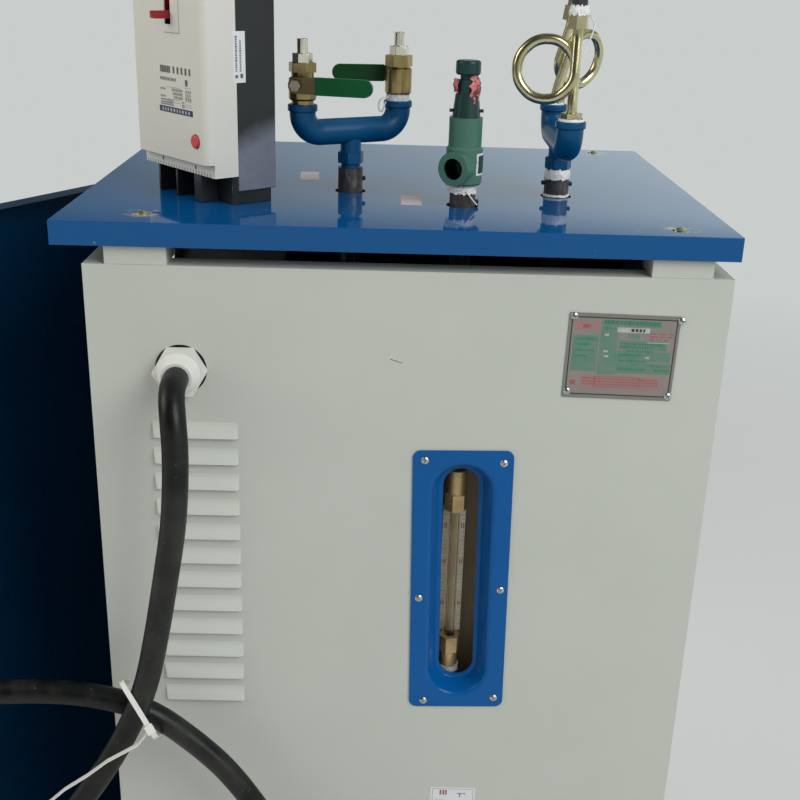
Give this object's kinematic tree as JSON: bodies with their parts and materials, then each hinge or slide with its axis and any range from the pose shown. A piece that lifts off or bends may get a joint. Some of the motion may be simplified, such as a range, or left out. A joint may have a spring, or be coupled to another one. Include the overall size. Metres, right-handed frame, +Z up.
{
  "type": "electric steam generator in a sheet metal cabinet",
  "caption": "Upright sheet metal cabinet steam generator with a header, ball valves, safety valve, siphons and a breaker on its lid, a water gauge in front and a side door ajar.",
  "frame": {"origin": "middle of the cabinet's footprint, on the floor", "axes": "+X right as seen from the front, +Y to the back, +Z up"},
  "size_m": [0.9398, 1.0726, 1.5544],
  "materials": {
    "panel_paint": "satin",
    "blue_paint": "gloss",
    "galvanised": "satin",
    "vessel_steel": "matte",
    "raw_steel": "satin",
    "brass": "satin",
    "chrome": "polished",
    "green_sleeve": "satin",
    "valve_green": "satin",
    "dark_green": "satin",
    "yellow_zinc": "polished",
    "white_nylon": "satin",
    "cable_rubber": "matte",
    "clear_glass": "polished",
    "plate_aluminium": "satin",
    "breaker_white": "satin",
    "breaker_grey": "matte",
    "red_plastic": "satin",
    "gauge_black": "satin",
    "switch_grey": "satin",
    "scale_white": "matte"
  },
  "bodies": {
    "cabinet": {"front_panel": "panel_paint", "right_panel": "panel_paint", "left_frame": "panel_paint", "lid_spacers": "panel_paint", "lid": "blue_paint", "gauge_escutcheon": "blue_paint", "steam_header": "blue_paint", "gauge_header": "blue_paint", "header_nipples": "blue_paint", "base_tray": "galvanised", "back_panel": "galvanised", "partition": "galvanised", "door_hinges": "galvanised", "vessel": "vessel_steel", "vessel_skirt": "vessel_steel", "riser_pipes": "raw_steel", "left_valve": "brass", "right_valve": "brass", "upper_gauge_cock": "brass", "lower_gauge_cock": "brass", "outlet_nozzles": "chrome", "front_siphon": "yellow_zinc", "rear_siphon": "yellow_zinc", "safety_valve_body": "valve_green", "safety_valve_bonnet": "dark_green", "safety_valve_cap": "dark_green", "cable_gland": "white_nylon", "cable_tie": "white_nylon", "power_cable": "cable_rubber", "cable_coil": "cable_rubber", "gauge_glass": "clear_glass", "gauge_scale": "scale_white", "rating_plate": "plate_aluminium", "pressure_gauge": "gauge_black", "pressure_switch": "switch_grey", "breaker_base": "breaker_grey", "breaker_cover": "breaker_white"},
    "left_door": {"left_door": "blue_paint", "door_latch": "chrome"},
    "left_valve_lever": {"left_valve_lever": "green_sleeve"},
    "right_valve_lever": {"right_valve_lever": "green_sleeve"},
    "breaker_handle": {"breaker_handle": "red_plastic"},
    "test_button": {"test_button": "red_plastic"}
  },
  "joints": [
    {"name": "left_door_hinge", "type": "hinge", "parent": "cabinet", "child": "left_door", "pos_m": [-0.312, 0.253, 0.6], "axis": [0, 0, -1], "range_deg": [-30, 80]},
    {"name": "left_valve_stem", "type": "hinge", "parent": "cabinet", "child": "left_valve_lever", "pos_m": [-0.10836, -0.10146, 1.3597], "axis": [-0.225, -0.9744, 0], "range_deg": [0, 90]},
    {"name": "right_valve_stem", "type": "hinge", "parent": "cabinet", "child": "right_valve_lever", "pos_m": [-0.01364, -0.04454, 1.3652], "axis": [-0.1392, 0.9903, 0], "range_deg": [0, 90]},
    {"name": "breaker_toggle", "type": "hinge", "parent": "cabinet", "child": "breaker_handle", "pos_m": [-0.2135, -0.1235, 1.439], "axis": [-0.6455, 0.7638, 0], "range_deg": [0, 44]},
    {"name": "test_push", "type": "slide", "parent": "cabinet", "child": "test_button", "axis": [0.7638, 0.6455, 0], "range_m": [0, 0.002], "stiffness_N_per_m": 300}
  ]
}
